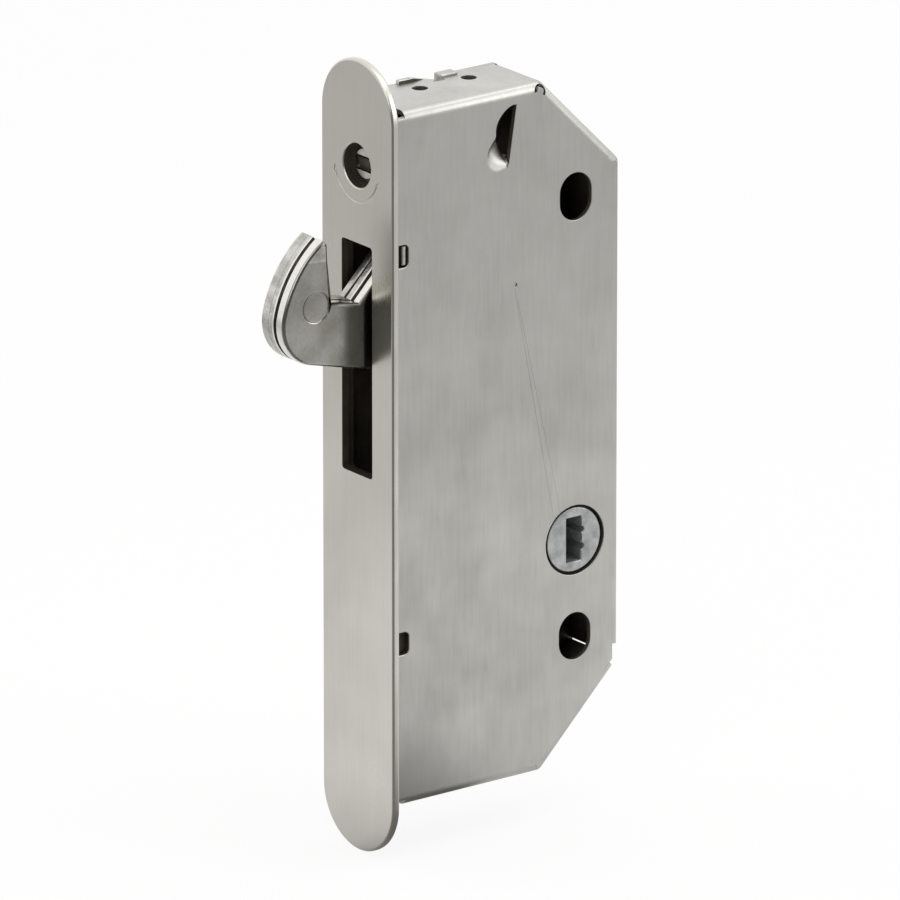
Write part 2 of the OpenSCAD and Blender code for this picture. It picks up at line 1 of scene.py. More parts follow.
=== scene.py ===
"""Looks of a sliding patio door lock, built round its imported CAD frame.

X runs into the door, Y across it and Z up its edge. Every length is in metres unless its name says mm.
"""
import logging
import math
from dataclasses import dataclass, field
from enum import Enum, IntEnum
from functools import cache
from typing import Callable

import bmesh
import bpy
from bmesh.types import BMEdge, BMesh, BMFace, BMVert
from bpy.types import NodeSocket, NodeTree
from mathutils import Matrix, Vector


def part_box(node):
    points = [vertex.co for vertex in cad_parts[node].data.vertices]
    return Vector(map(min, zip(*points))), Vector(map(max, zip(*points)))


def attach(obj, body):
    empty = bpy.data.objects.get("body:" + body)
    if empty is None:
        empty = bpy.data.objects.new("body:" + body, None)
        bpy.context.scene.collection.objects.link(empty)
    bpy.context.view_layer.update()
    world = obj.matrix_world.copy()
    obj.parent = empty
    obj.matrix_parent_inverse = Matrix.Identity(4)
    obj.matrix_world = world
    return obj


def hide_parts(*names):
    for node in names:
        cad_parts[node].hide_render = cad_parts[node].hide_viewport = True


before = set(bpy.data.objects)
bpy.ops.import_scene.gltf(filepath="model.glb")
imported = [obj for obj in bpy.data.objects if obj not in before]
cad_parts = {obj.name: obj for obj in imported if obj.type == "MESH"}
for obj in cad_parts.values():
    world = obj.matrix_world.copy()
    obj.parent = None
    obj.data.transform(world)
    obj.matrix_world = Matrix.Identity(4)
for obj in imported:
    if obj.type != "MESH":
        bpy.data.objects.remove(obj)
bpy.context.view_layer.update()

LOG = logging.getLogger("door_lock")
MM = 0.001
# Corners of a CAD mesh's loose triangles that lie nearer than this are one
COPY_WELD_MM = 0.001
# Points of a new skin that lie nearer than this are one, or on one level
WELD_MM = 0.002
# Edges that lie this near to a named level belong to it
LEVEL_MM = 0.005
# Faces that lean less than this against each other are one flat face
FLAT_DEGREES = 0.4
# Edges of a piece up to this angle are shaded smooth
SMOOTH_DEGREES = 32.0
# Share of the grain in the dullness of a metal, and the span of it that shows
GRAIN_SHARE = 0.35
DULL_SPAN = (0.42, 0.9)
# Waves per metre of the smears, about 4 mm wide and 16 mm long, and the part of them that shows
SMEAR_WAVES = (250.0, 250.0, 62.0)
SMEAR_SPAN = (0.56, 0.74)


class Grain(Enum):
    """Way that the rolling or brushing lines of a metal run."""

    UPRIGHT = (1.0, 1.0, 0.0)
    NONE = (1.0, 1.0, 1.0)


class PlateSkin(IntEnum):
    """Finish numbers of the faceplate."""

    FRONT = 0
    SIDE = 1
    OPENING_SHADE = 2


class HookSkin(IntEnum):
    """Finish numbers of a lamination."""

    FACE = 0
    RIM = 1
    GROOVE_SHADE = 2
    LIP_HIGHLIGHT = 3
    COINED_HIGHLIGHT = 4


def linear(code: str) -> tuple[float, float, float, float]:
    """Turn an sRGB hex colour into a linear colour.

    Args:
        code: Colour as #RRGGBB.

    Returns:
        Linear red, green and blue with an alpha of 1.
    """
    parts = [int(code[i : i + 2], 16) / 255 for i in (1, 3, 5)]
    parts = [c / 12.92 if c <= 0.04045 else ((c + 0.055) / 1.055) ** 2.4 for c in parts]
    return (*parts, 1.0)


def add_node(tree: NodeTree, kind: str, settings: dict | None = None,
             links: dict | None = None) -> bpy.types.Node:
    """Add a node with its settings and links.

    Args:
        tree: Node tree that gets the node.
        kind: Type name of the node, without the word ShaderNode that it starts with.
        settings: Values by socket name, socket number or property name.
        links: Output sockets by the input's name or number.

    Returns:
        The new node.
    """
    node = tree.nodes.new("ShaderNode" + kind)
    for key, value in (settings or {}).items():
        if isinstance(key, int) or key in node.inputs:
            node.inputs[key].default_value = value
        else:
            setattr(node, key, value)
    for key, source in (links or {}).items():
        tree.links.new(source, node.inputs[key])
    return node


@dataclass(frozen=True)
class MetalFinish:
    """Bare metal with a grain, soft patches, fine pits and rounded, rubbed edges.

    Attributes:
        label: Name of the material.
        clean: sRGB colour of the rubbed metal.
        dull: sRGB colour of its duller patches.
        rough: Lowest and highest roughness.
        grain: Way that the grain runs.
        grain_mm: Width and length of one grain line.
        grain_depth_mm: Depth of the grain.
        patch_mm: Size of the dull patches.
        pit_mm: Size of the fine pits.
        pit_depth_mm: Depth of the pits.
        edge_mm: Radius of the rubbed edges.
        metal: Metallic share: 1 bare, less under grease or oxide.
        smear: Share of the dull colour in the long rubbed smears.
    """

    label: str
    clean: str
    dull: str
    rough: tuple[float, float] = (0.28, 0.42)
    grain: Grain = Grain.NONE
    grain_mm: tuple[float, float] = (0.3, 16.0)
    grain_depth_mm: float = 0.004
    patch_mm: float = 18.0
    pit_mm: float = 0.9
    pit_depth_mm: float = 0.004
    edge_mm: float = 0.18
    metal: float = 1.0
    smear: float = 0.0

    @cache
    def material(self) -> bpy.types.Material:
        """Build the material once.

        Returns:
            A node material that reads Object coordinates.
        """
        made = bpy.data.materials.new(self.label)
        made.use_nodes = True
        tree = made.node_tree
        tree.nodes.clear()
        place = add_node(tree, "TexCoord").outputs["Object"]
        width, run = (1000 / size for size in self.grain_mm)
        patterns = {"grain": ([width if way else run for way in self.grain.value], 3.0),
                    "patch": ([1000 / self.patch_mm] * 3, 4.0),
                    "pit": ([1000 / self.pit_mm] * 3, 3.0)}
        if self.smear:
            patterns["smear"] = (SMEAR_WAVES, 6.0)
        noise = {}
        for name, (waves, octaves) in patterns.items():
            spread = add_node(tree, "Mapping", {"Scale": waves}, {"Vector": place}).outputs[0]
            noise[name] = add_node(tree, "TexNoise", {"Scale": 1.0, "Detail": octaves},
                                   {"Vector": spread}).outputs[0]
        mixed = add_node(tree, "Math", {"operation": "MULTIPLY_ADD", 1: GRAIN_SHARE},
                         {0: noise["grain"], 2: noise["patch"]}).outputs[0]
        if self.smear:
            mixed = self.smeared(tree, noise["smear"], mixed)
        low, high = DULL_SPAN
        share, rough = (add_node(tree, "MapRange",
                                 {"From Min": low, "From Max": high, "To Min": start, "To Max": end},
                                 {"Value": mixed}).outputs[0]
                        for start, end in ((0.0, 1.0), self.rough))
        colour = add_node(tree, "Mix",
                          {"data_type": "RGBA", 6: linear(self.clean), 7: linear(self.dull)},
                          {0: share}).outputs[2]
        normal = add_node(tree, "Bevel", {"samples": 4, "Radius": self.edge_mm * MM}).outputs[0]
        for name, depth_mm in (("pit", self.pit_depth_mm), ("grain", self.grain_depth_mm)):
            normal = add_node(tree, "Bump", {"Distance": depth_mm * MM},
                              {"Height": noise[name], "Normal": normal}).outputs[0]
        shader = add_node(tree, "BsdfPrincipled", {"Metallic": self.metal},
                          {"Base Color": colour, "Roughness": rough, "Normal": normal})
        add_node(tree, "OutputMaterial", links={"Surface": shader.outputs[0]})
        return made

    def smeared(self, tree: NodeTree, smear: NodeSocket, mixed: NodeSocket) -> NodeSocket:
        """Add the sparse smears that handling leaves.

        Args:
            tree: Node tree of the material.
            smear: Socket with the smears' noise.
            mixed: Socket with the dullness so far.

        Returns:
            Socket with the dullness and the smears.
        """
        start, end = SMEAR_SPAN
        marks = add_node(tree, "MapRange",
                         {"interpolation_type": "SMOOTHSTEP", "From Min": start, "From Max": end,
                          "To Max": self.smear}, {"Value": smear}).outputs[0]
        return add_node(tree, "Math", {"operation": "ADD"}, {0: mixed, 1: marks}).outputs[0]


# Real brushing and rolling lines are well under 0.1 mm wide. Such fine ones don't show in the render, so
# every grain below is drawn coarser, 0.3 to 0.9 mm wide.

# Satin-brushed stainless steel: fine upright lines, a soft even sheen
PLATE_SATIN = MetalFinish("satin_stainless_plate", "#DDDAD2", "#CFCCC4", (0.26, 0.36), Grain.UPRIGHT,
                          (0.35, 22.0), 0.0015, 30.0, 1.2, 0.002, 0.2)
# Sheared and tumbled rim of the same plate: a little brighter
PLATE_RIM = MetalFinish("tumbled_plate_rim", "#E6E3DA", "#D2CFC6", (0.24, 0.34), Grain.UPRIGHT,
                        (0.4, 9.0), 0.003, 12.0, 1.2, 0.003, 0.2)
# Cold-rolled stainless sheet: dull, clouded and smeared by handling, with faint rolling lines
CASE_SHEET = MetalFinish("rolled_stainless_sheet", "#D0CFCA", "#BEBDB8", (0.28, 0.42), Grain.UPRIGHT,
                         (0.9, 12.0), 0.001, 16.0, 1.6, 0.006, 0.2, 1.0, 0.11)
# Same sheet inside the case, in the walls of holes and on the parts within, darkened by oil and by painted
# shade: mostly dull oxide
OILED_SHEET_PAINTED_SHADE = MetalFinish("oiled_sheet_painted_shade", "#5A5348", "#3A352D", (0.42, 0.6), Grain.UPRIGHT,
                          (0.5, 14.0), 0.003, 9.0, 1.0, 0.004, 0.15, 0.35)
# Turned steel pins and rivets: smooth, with a tight sheen
TURNED_STEEL = MetalFinish("turned_steel", "#B9B8B3", "#8F8E89", (0.2, 0.32), Grain.NONE,
                           (0.4, 0.4), 0.002, 3.0, 0.5, 0.003, 0.12)
# Blanked and tumbled steel of the hook's faces: smooth, mid grey
HOOK_FACE = MetalFinish("tumbled_steel_hook", "#B7B5AE", "#97958D", (0.16, 0.26), Grain.NONE,
                        (0.6, 0.6), 0.002, 6.0, 0.8, 0.003, 0.1)
# Rim of the near lamination: shaved smooth and bright; also painted on rolled strips of the laminations as a
# highlight
HOOK_RIM_AND_HIGHLIGHT = MetalFinish("shaved_steel_rim_and_highlight", "#F6F4EE", "#E2E0DA", (0.2, 0.3), Grain.NONE,
                       (0.5, 0.5), 0.004, 4.0, 0.8, 0.006, 0.1)
# Rims of the other laminations: sheared, coarse and bright
HOOK_SHEARED = MetalFinish("sheared_steel_rim", "#E0DED8", "#AEACA6", (0.28, 0.42), Grain.NONE,
                           (0.5, 0.5), 0.09, 2.5, 0.8, 0.16, 0.1)
# Coined facet of the beak: grainier than the face, and painted lighter as a highlight
HOOK_COINED_HIGHLIGHT = MetalFinish("coined_steel_beak_highlight", "#D6D4CD", "#A9A7A0", (0.24, 0.34), Grain.NONE,
                          (0.5, 0.5), 0.03, 2.0, 0.7, 0.03, 0.1)
# Groove between the laminations: dirt and oil, darkened to near black as painted shade, with little sheen
HOOK_GROOVE_PAINTED_SHADE = MetalFinish("oiled_groove_painted_shade", "#4A4741", "#2E2C28", (0.35, 0.5), Grain.NONE,
                          (0.5, 0.5), 0.01, 3.0, 0.7, 0.02, 0.05)
# Zinc-plated screw: pale and even
SCREW_STEEL = MetalFinish("plated_screw", "#EDECE6", "#BDBBB5", (0.25, 0.38), Grain.NONE,
                          (0.4, 0.4), 0.003, 3.0, 0.6, 0.004, 0.15)
# Hardened spring strip: dark grey, with fine lines
SPRING_STEEL = MetalFinish("spring_strip", "#6C6B67", "#4A4946", (0.25, 0.4), Grain.UPRIGHT)
# Die-cast zinc: mottled, matt and a little bluish
HUB_ZINC = MetalFinish("cast_zinc", "#D4D6D5", "#A2A5A4", (0.4, 0.56), Grain.NONE, (0.9, 0.9), 0.01,
                       3.2, 0.9, 0.03, 0.25)
# Die-cast zinc down in the drive slot: dull with grease and oxide
HUB_BORE = MetalFinish("greased_zinc_bore", "#7E8180", "#616463", (0.5, 0.7), Grain.NONE, (0.9, 0.9),
                       0.02, 2.0, 0.8, 0.05, 0.15, 0.1)
# Sintered bronze bush: dark with oil, matt, and made black as painted shade of the gap round the hub
BUSH_BRONZE_PAINTED_SHADE = MetalFinish("oiled_bronze_bush_painted_shade", "#241C12", "#100C08", (0.4, 0.55), metal=0.4)
# Machined brass nut: yellow and satin
NUT_BRASS = MetalFinish("machined_brass", "#C6A75C", "#A08543", (0.25, 0.38))


@dataclass
class Studio:
    """Pale floor, white backdrop, soft lamps, a dim camera side and the photo's camera.

    Attributes:
        camera_at: Place of the camera.
        camera_turn: Azimuth and elevation of the camera in degrees.
        lens_mm: Focal length of the camera.
        floor_radius: Radius of the floor.
        floor_z: Height of the floor.
        middle_x: Middle of the floor and its pools.
        floor_share: Share of the white that the camera sees in the floor.
        toward_camera: Direction of the dimmed side.
        floor_dimming: Cosines where the painted shade in the floor's reflected glow starts and ends.
        world_dimming: Cosines where the world's dimming starts and ends.
        low_share: Share of light that is left at the end of the dimming.
        painted_pools: Start and end radius of the painted pool of light further out and of the painted shadow
            close round the lock, and the shares of light there.
        lamp_aim: Point that the lamps look at.
    """

    camera_at: tuple[float, float, float] = (-1.826978, -2.45071, 1.010698)
    camera_turn: tuple[float, float] = (-37.049, 18.272)
    lens_mm: float = 599.6
    floor_radius: float = 1.6
    floor_z: float = -0.0894
    middle_x: float = 0.03
    floor_share: float = 0.88
    toward_camera: tuple[float, float, float] = (-0.6, -0.8, 0.0)
    floor_dimming: tuple[float, float] = (0.4, 0.9)
    world_dimming: tuple[float, float] = (0.15, 0.75)
    low_share: float = 0.12
    painted_pools: tuple[tuple[float, ...], ...] = ((0.12, 0.5, 0.84, 0.5), (0.01, 0.1, 0.72, 1.0))
    lamp_aim: tuple[float, float, float] = (0.02, 0.0, 0.0)

    def build(self) -> None:
        """Make the floor, the world, the lamps and the camera."""
        self.floor()
        self.world()
        self.lamp("key_left", (-0.9, -0.5, 0.75), (0.8, 0.9), 3.0)
        self.lamp("top_soft", (0.25, -0.25, 1.0), (0.9, 0.7), 2.6)
        self.lamp("right_fill", (0.9, -0.9, 0.45), (0.7, 0.8), 2.4)
        self.camera()
        LOG.info("studio ready")

    def dim_side(self, tree: NodeTree, way: NodeSocket, span: tuple[float, float]) -> NodeSocket:
        """Add the share of light that is left towards the camera's side of the studio.

        Args:
            tree: Node tree of the floor or the world.
            way: Socket with a direction of length 1.
            span: Cosines where the dimming starts and ends.

        Returns:
            Socket with the share.
        """
        facing = add_node(tree, "VectorMath", {"operation": "DOT_PRODUCT", 1: self.toward_camera},
                          {0: way}).outputs["Value"]
        return add_node(tree, "MapRange",
                        {"interpolation_type": "SMOOTHSTEP", "From Min": span[0], "From Max": span[1],
                         "To Min": 1.0, "To Max": self.low_share}, {"Value": facing}).outputs[0]

    def floor(self) -> None:
        """Make the round pale floor that keeps the object's shadow, with painted light in the glow that metal
        reflects.
        """
        shape = bmesh.new()
        bmesh.ops.create_circle(shape, cap_ends=True, segments=96, radius=self.floor_radius)
        bmesh.ops.translate(shape, verts=shape.verts, vec=(self.middle_x, 0.0, self.floor_z))
        ground = new_object("floor", shape)
        paint = bpy.data.materials.new("pale_floor")
        paint.use_nodes = True
        tree = paint.node_tree
        tree.nodes.clear()
        ray = add_node(tree, "LightPath")
        seen = ray.outputs["Is Camera Ray"]
        for kind in ("Is Glossy Ray", "Is Transmission Ray"):
            seen = add_node(tree, "Math", {"operation": "MAXIMUM"},
                            {0: seen, 1: ray.outputs[kind]}).outputs[0]
        share = add_node(tree, "Math", {"operation": "MULTIPLY", 1: self.floor_share}, {0: seen})
        spot = add_node(tree, "TexCoord").outputs["Object"]
        spot = add_node(tree, "VectorMath",
                        {"operation": "SUBTRACT", 1: (self.middle_x, 0.0, self.floor_z)},
                        {0: spot}).outputs[0]
        away = add_node(tree, "VectorMath", {"operation": "LENGTH"}, {0: spot}).outputs["Value"]
        way = add_node(tree, "VectorMath", {"operation": "NORMALIZE"}, {0: spot}).outputs[0]
        # For glossy rays the floor's glow is painted light: a pool of light round the lock, a shadow close to
        # it and shade towards the camera's side
        painted_glow, near = (add_node(tree, "MapRange",
                               {"interpolation_type": "SMOOTHSTEP", "From Min": start, "From Max": end,
                                "To Min": first, "To Max": last}, {"Value": away}).outputs[0]
                      for start, end, first, last in self.painted_pools)
        for factor in (near, self.dim_side(tree, way, self.floor_dimming)):
            painted_glow = add_node(tree, "Math", {"operation": "MULTIPLY"},
                            {0: painted_glow, 1: factor}).outputs[0]
        strength = add_node(tree, "Mix", {"data_type": "FLOAT", 2: 1.0},
                            {0: ray.outputs["Is Glossy Ray"], 3: painted_glow}).outputs[0]
        matt = add_node(tree, "BsdfDiffuse", {"Color": linear("#F4F4F2")})
        glow = add_node(tree, "Emission", {"Color": (1, 1, 1, 1)}, {"Strength": strength})
        both = add_node(tree, "MixShader",
                        links={0: share.outputs[0], 1: matt.outputs[0], 2: glow.outputs[0]})
        add_node(tree, "OutputMaterial", links={"Surface": both.outputs[0]})
        ground.data.materials.append(paint)

    def world(self) -> None:
        """Make the white surroundings, dim towards the camera's side as in a real studio."""
        sky = bpy.data.worlds.new("white_studio")
        bpy.context.scene.world = sky
        sky.use_nodes = True
        tree = sky.node_tree
        tree.nodes.clear()
        ray = add_node(tree, "LightPath")
        seen = add_node(tree, "Math", {"operation": "MAXIMUM"},
                        {0: ray.outputs["Is Camera Ray"], 1: ray.outputs["Is Transmission Ray"]})
        way = add_node(tree, "TexCoord").outputs["Generated"]
        shade = self.dim_side(tree, way, self.world_dimming)
        strength = add_node(tree, "Mix", {"data_type": "FLOAT", 3: 1.0},
                            {0: seen.outputs[0], 2: shade}).outputs[0]
        light = add_node(tree, "Background", {"Color": (1, 1, 1, 1)}, {"Strength": strength})
        add_node(tree, "OutputWorld", links={"Surface": light.outputs[0]})

    def lamp(self, name: str, at: tuple[float, float, float], size: tuple[float, float],
             watts: float) -> None:
        """Hang one soft rectangular lamp that looks at the object.

        Args:
            name: Name of the lamp.
            at: Place of the lamp.
            size: Width and height of the lamp.
            watts: Power of the lamp.
        """
        data = bpy.data.lights.new(name, "AREA")
        data.shape = "RECTANGLE"
        data.size, data.size_y = size
        data.energy = watts
        lamp = bpy.data.objects.new(name, data)
        lamp.location = at
        look = Vector(self.lamp_aim) - Vector(at)
        lamp.rotation_euler = look.to_track_quat("-Z", "Y").to_euler()
        bpy.context.scene.collection.objects.link(lamp)

    def camera(self) -> None:
        """Place the camera at the photo's viewing angle."""
        data = bpy.data.cameras.new("photo_camera")
        data.lens = self.lens_mm
        data.sensor_width = 36.0
        data.clip_start, data.clip_end = 0.1, 20.0
        eye = bpy.data.objects.new("photo_camera", data)
        eye.location = self.camera_at
        azimuth, elevation = self.camera_turn
        eye.rotation_euler = (math.radians(90 - elevation), 0.0, math.radians(azimuth))
        bpy.context.scene.collection.objects.link(eye)
        bpy.context.scene.camera = eye


def new_object(name: str, shape: BMesh) -> bpy.types.Object:
    """Turn a bmesh into an object at the origin.

    Args:
        name: Name of the piece.
        shape: Finished bmesh, which is freed.

    Returns:
        The new object.
    """
    mesh = bpy.data.meshes.new(name)
    shape.to_mesh(mesh)
    shape.free()
    piece = bpy.data.objects.new(name, mesh)
    bpy.context.scene.collection.objects.link(piece)
    return piece


def copy_node(node: str) -> BMesh:
    """Copy a CAD node's mesh, merged into one skin with its flat faces cleaned.

    Args:
        node: Name of the CAD node.

    Returns:
        The merged copy.
    """
    shape = bmesh.new()
    shape.from_mesh(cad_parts[node].data)
    bmesh.ops.remove_doubles(shape, verts=shape.verts, dist=COPY_WELD_MM * MM)
    bmesh.ops.dissolve_limit(shape, angle_limit=math.radians(FLAT_DEGREES), verts=shape.verts,
                             edges=shape.edges)
    bmesh.ops.recalc_face_normals(shape, faces=shape.faces)
    return shape


def round_edges(shape: BMesh, edges: list[BMEdge], radius_mm: float, segments: int) -> None:
    """Round some edges of a bmesh.

    Args:
        shape: Bmesh that is changed.
        edges: Edges to round.
        radius_mm: Setback of the rounding.
        segments: Steps of the rounding.
    """
    bmesh.ops.bevel(shape, geom=edges, offset=radius_mm * MM, offset_type="OFFSET", segments=segments,
                    profile=0.5, affect="EDGES", material=-1, clamp_overlap=False, loop_slide=True)


def mid(edge: BMEdge) -> Vector:
    """Give the middle of an edge in millimetres."""
    return (edge.verts[0].co + edge.verts[1].co) / 2 / MM


def cap_edges(shape: BMesh, axis: int, level_mm: float) -> list[BMEdge]:
    """Find the sharp edges between a flat cap and the walls that stand on it.

    Args:
        shape: Bmesh to search.
        axis: Axis that the cap is square to.
        level_mm: Place of the cap on that axis.

    Returns:
        The edges around the cap and its holes.
    """
    found = []
    for edge in shape.edges:
        lean = sorted(abs(face.normal[axis]) for face in edge.link_faces)
        level = all(abs(vert.co[axis] - level_mm * MM) < LEVEL_MM * MM for vert in edge.verts)
        if level and len(lean) == 2 and lean[0] < 0.5 and lean[1] > 0.9:
            found.append(edge)
    return found


def refill(shape: BMesh, axis: int, level_mm: float) -> None:
    """Fill a flat cap round its holes anew, after its edges have moved.

    Args:
        shape: Bmesh that is changed.
        axis: Axis that the cap is square to.
        level_mm: Place of the cap on that axis.
    """
    shape.normal_update()
    flat = {face for face in shape.faces if all(
        abs(vert.co[axis] - level_mm * MM) < WELD_MM * MM for vert in face.verts)}
    rim = [edge for edge in shape.edges if sum(face in flat for face in edge.link_faces) == 1]
    bmesh.ops.delete(shape, geom=list(flat), context="FACES_KEEP_BOUNDARY")
    made = bmesh.ops.triangle_fill(shape, edges=rim, use_beauty=True)["geom"]
    inner = [part for part in made if isinstance(part, BMEdge) and part not in rim]
    bmesh.ops.dissolve_limit(shape, angle_limit=math.radians(FLAT_DEGREES), verts=[], edges=inner)
    bmesh.ops.recalc_face_normals(shape, faces=shape.faces)


def widest_loop(edges: list[BMEdge]) -> list[BMEdge]:
    """Keep the connected loop of edges with the longest way round.

    Args:
        edges: Edges of several loops.

    Returns:
        The edges of one loop.
    """
    left, loops = set(edges), []
    while left:
        loop, reach = [], [left.pop()]
        while reach:
            edge = reach.pop()
            loop.append(edge)
            beside = {other for vert in edge.verts for other in vert.link_edges if other in left}
            left -= beside
            reach.extend(beside)
        loops.append(loop)
    return max(loops, key=lambda loop: sum(edge.calc_length() for edge in loop))


def paint_faces(shape: BMesh, rule: Callable[[BMFace], int]) -> None:
    """Set each face's finish number by a rule.

    Args:
        shape: Bmesh that is changed.
        rule: Gives a face's finish number.
    """
    shape.normal_update()
    for face in shape.faces:
        face.material_index = rule(face)


def stand_in(node: str, shape: BMesh, body: str, finishes: tuple[MetalFinish, ...]) -> None:
    """Put a finished piece in the place of a CAD node.

    Args:
        node: CAD node that the piece stands for.
        shape: Finished bmesh.
        body: Body that carries the piece.
        finishes: Finishes by face number.
    """
    piece = new_object(node + "_shown", shape)
    piece.data.shade_smooth()
    piece.data.set_sharp_from_angle(angle=math.radians(SMOOTH_DEGREES))
    flat = piece.modifiers.new("flat_faces_stay_flat", "WEIGHTED_NORMAL")
    flat.keep_sharp = True
    for finish in finishes:
        piece.data.materials.append(finish.material())
    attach(piece, body)
    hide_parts(node)
    LOG.info("made %s: %d faces on %s", piece.name, len(piece.data.polygons), body)


@dataclass
class Shell:
    """Folded pan and flat cover of the case, their inner faces dark with oil and painted shade.

    Attributes:
        half_mm: Half the width of the case, across the door.
        top_mm, low_mm: Heights of the top and lower edge.
        depth_mm, leg_mm: Reach of the case into the door, and size of its slanted rear corners.
        skin_mm: Depth to which the outer finish reaches.
        sheet_mm: Thickness of the sheet.
        bend_mm: Width of the bends, seen from the side.
        bend_out_mm: Outer radius of the bends.
        mouth_roll_mm: Rounding of the openings in the near side.
        mouth_wall_mm: Depth to which the walls of those openings reach.
        tab_mm: Height of the cover's tabs above the case from which they are rounded.
        tab_roll_mm: Rounding of the tabs.
        scoop_mm: X and Z of the scoop's middle.
        scoop_rim_mm: Least and greatest distance of the scoop's curved rim from its middle.
        dent_reach_mm: Radius that holds the whole draw.
        bowl_mm: Radius of the bowl that is pressed deeper, and its middle's height above the side.
        bowl_drop_mm: Depth that the bowl gains at its mouth.
        bowl_fade: Part of that depth that each millimetre further down takes off.
        clear_mm: Distance from a skin at which a point no longer belongs to it.
        cut_half_mm: Half the length of the scoop's straight cut.
        kept: Ends of the cut, which the rings leave alone.
        draw_mm: Degrees round the scoop, and there the radii of the lip and of the outermost ring.
        ramp_mm: Height on the scoop where its ramp starts, and the height that it takes to climb.
        ramp_deep_mm: Depth of the ramp.
        ramp_bend: Powers of the ramp's slope and of the plunge to the lip.
        back_hole_mm: Radius of the hole in the sheet's inner skin.
        draw_deep_mm: Depth of the lip.
        draw_steps: Number of rings.
        brow_mm: Greatest X and depth, and least Z, of the edge that is set back.
        set_back_mm: Set-back of the edge above the upper window.
        gap_mm: Reach round the lower rear corner, and least Y and rise, of the flange's end there.
        widen_mm: Widening of the gap at that corner.
        fold_run_mm: Run of a corner fold along its folded sides.
        fold_drop_mm: Drop of a corner fold below the bend.
        folds_mm: X and Z inside each corner, first direction, outer radius and turn of its fold.
    """

    half_mm: float = 9.0
    top_mm: float = 78.7
    low_mm: float = -78.1
    depth_mm: float = 62.6
    leg_mm: float = 21.2
    # skin_mm: Depth to which the outer finish reaches; faces deeper in get the painted shade.
    skin_mm: float = 0.9
    sheet_mm: float = 1.1
    bend_mm: float = 2.2
    bend_out_mm: float = 2.1
    mouth_roll_mm: float = 0.18
    # mouth_wall_mm: Depth to which the walls of those openings reach, all in painted shade.
    mouth_wall_mm: float = 1.15
    tab_mm: float = 0.1
    tab_roll_mm: float = 0.25
    scoop_mm: tuple[float, float] = (33.1, 68.5)
    scoop_rim_mm: tuple[float, float] = (4.5, 7.2)
    dent_reach_mm: float = 12.0
    bowl_mm: tuple[float, float] = (6.0, 0.5)
    bowl_drop_mm: float = 2.3
    bowl_fade: float = 0.5
    clear_mm: float = 0.03
    cut_half_mm: float = 6.6
    kept: list[Vector] = field(default_factory=list)
    draw_mm: tuple[tuple[float, float, float], ...] = (
        (-181, 5.4, 6.6), (-90, 5.4, 6.6), (-74, 4.8, 7.9), (-58, 4.1, 9.5), (-42, 3.6, 9.3),
        (-27, 3.4, 7.8), (-12, 3.3, 5.7), (0, 3.3, 4.4), (60, 4.8, 5.6), (90, 6.2, 6.5), (181, 6.3, 6.5))
    ramp_mm: tuple[float, float] = (-9.2, 5.5)
    ramp_deep_mm: float = 1.05
    ramp_bend: tuple[float, float] = (0.4, 1.3)
    back_hole_mm: float = 6.6
    draw_deep_mm: float = 2.1
    draw_steps: int = 6
    brow_mm: tuple[float, float, float] = (0.9, 1.2, 48.0)
    set_back_mm: float = 1.0
    gap_mm: tuple[float, float, float] = (2.2, -5.9, 0.2)
    widen_mm: float = 0.6
    fold_run_mm: float = 2.9
    fold_drop_mm: float = 1.2
    folds_mm: tuple[tuple[tuple[float, float], float, float, float], ...] = (
        ((60.5, 56.63), 0.0, 2.0995, 45.0), ((40.53, -76.0), -90.0, 2.0995, 45.0),
        ((59.79, -56.74), -45.0, 2.0995, 0.0))

    def build(self) -> None:
        """Make the pan, its corner folds and the cover."""
        pan = copy_node("case_pan")
        least, most = self.scoop_rim_mm
        mouths = [edge for edge in cap_edges(pan, 1, -self.half_mm)
                  if self.side_depth(mid(edge)) > self.bend_mm]
        scoop = [edge for edge in mouths if least < self.from_scoop(mid(edge)) < most]
        others = [edge for edge in mouths if self.from_scoop(mid(edge)) > most]
        self.draw_scoop(pan, scoop)
        round_edges(pan, others, self.mouth_roll_mm, 2)
        self.open_gaps(pan)
        refill(pan, 1, -self.half_mm)
        paint_faces(pan, self.pan_finish)
        stand_in("case_pan", pan, "case", (CASE_SHEET, OILED_SHEET_PAINTED_SHADE))
        self.corner_folds()
        cover = copy_node("case_cover")
        raised = [edge for edge in cover.edges if edge.calc_face_angle(0) > 1.0 and all(
            abs(vert.co.z) > (self.top_mm + self.tab_mm) * MM for vert in edge.verts)]
        round_edges(cover, raised, self.tab_roll_mm, 3)
        paint_faces(cover, self.cover_finish)
        stand_in("case_cover", cover, "case", (CASE_SHEET, OILED_SHEET_PAINTED_SHADE))

